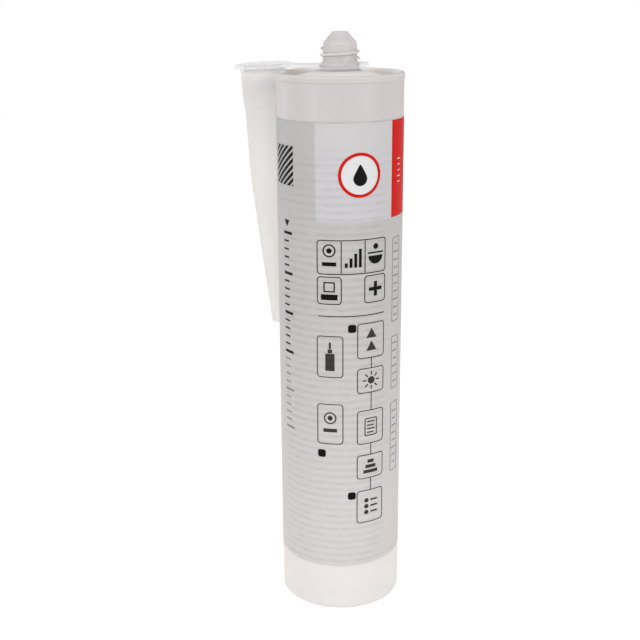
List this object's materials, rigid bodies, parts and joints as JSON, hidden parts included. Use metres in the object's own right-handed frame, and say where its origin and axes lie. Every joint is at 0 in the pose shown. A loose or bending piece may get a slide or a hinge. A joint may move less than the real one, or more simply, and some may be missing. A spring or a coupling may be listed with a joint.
{
  "type": "caulk tube",
  "caption": "Cylindrical sealant cartridge with a threaded closed neck, an open rear end with a sliding piston, a film label, and a tapered nozzle hung on the neck by its strap.",
  "frame": {"origin": "centre of the barrel's open rear end, on its rear edge", "axes": "+Z along the barrel towards the neck; the nozzle hangs on the -X side"},
  "size_m": [0.071, 0.0496, 0.2314],
  "materials": {
    "natural_polyethylene": "satin, slightly translucent",
    "label_film": "satin printed film",
    "sealant_paste": "smooth paste",
    "piston_polyethylene": "satin moulded",
    "nozzle_polyethylene": "satin, slightly translucent"
  },
  "bodies": {
    "cartridge": {"cartridge": "natural_polyethylene", "label": "label_film", "sealant": "sealant_paste"},
    "piston": {"piston": "piston_polyethylene"},
    "nozzle": {"nozzle": "nozzle_polyethylene"}
  },
  "joints": [
    {"name": "piston_slide", "type": "slide", "parent": "cartridge", "child": "piston", "axis": [0, 0, 1], "range_m": [0, 0.1842], "deforming": ["sealant"]},
    {"name": "nozzle_swivel", "type": "hinge", "parent": "cartridge", "child": "nozzle", "pos_m": [0, 0, 0.2187], "axis": [0, 0, 1], "continuous": true}
  ]
}
